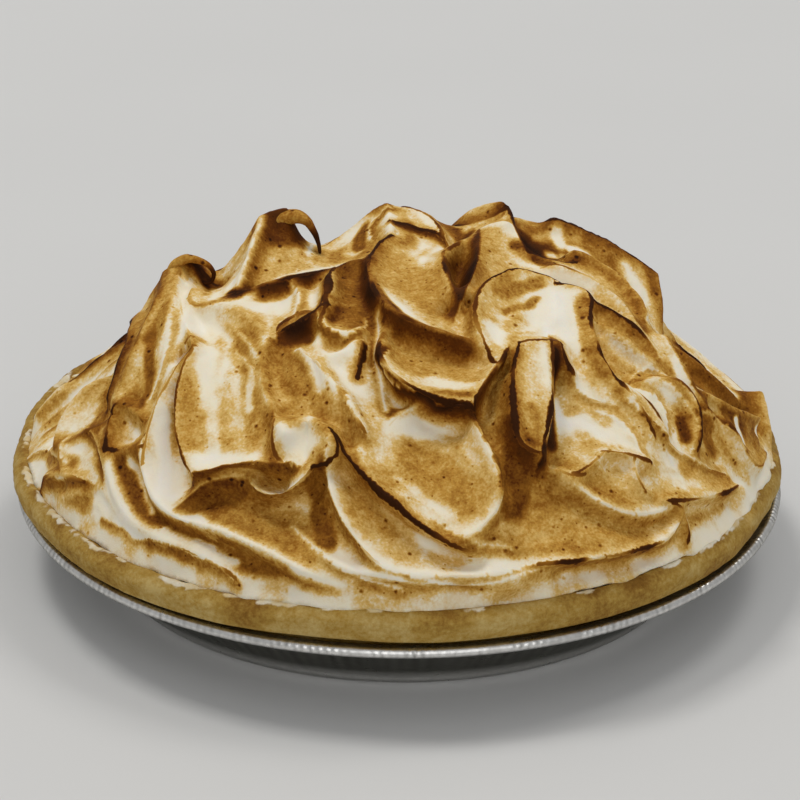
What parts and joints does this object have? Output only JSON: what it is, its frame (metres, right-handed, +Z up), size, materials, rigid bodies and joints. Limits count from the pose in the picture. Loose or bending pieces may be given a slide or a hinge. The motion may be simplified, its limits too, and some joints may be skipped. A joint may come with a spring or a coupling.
{
  "type": "lemon meringue pie",
  "caption": "Round pie in a foil tin: golden pastry rim under a tall dome of swirled, torch-browned meringue with curled peaks.",
  "frame": {"origin": "centre of the tin's flat underside", "axes": "+Z up out of the dish, -Y towards the side that the picture shows, +X to the right in the picture"},
  "size_m": [0.2449, 0.2455, 0.1141],
  "materials": {
    "foil": "bright crimped foil",
    "crust": "matt baked pastry",
    "meringue": "soft satin, browned on the crests"
  },
  "bodies": {
    "root": {"foil_tin": "foil", "pastry_crust": "crust", "meringue": "meringue"}
  },
  "joints": []
}
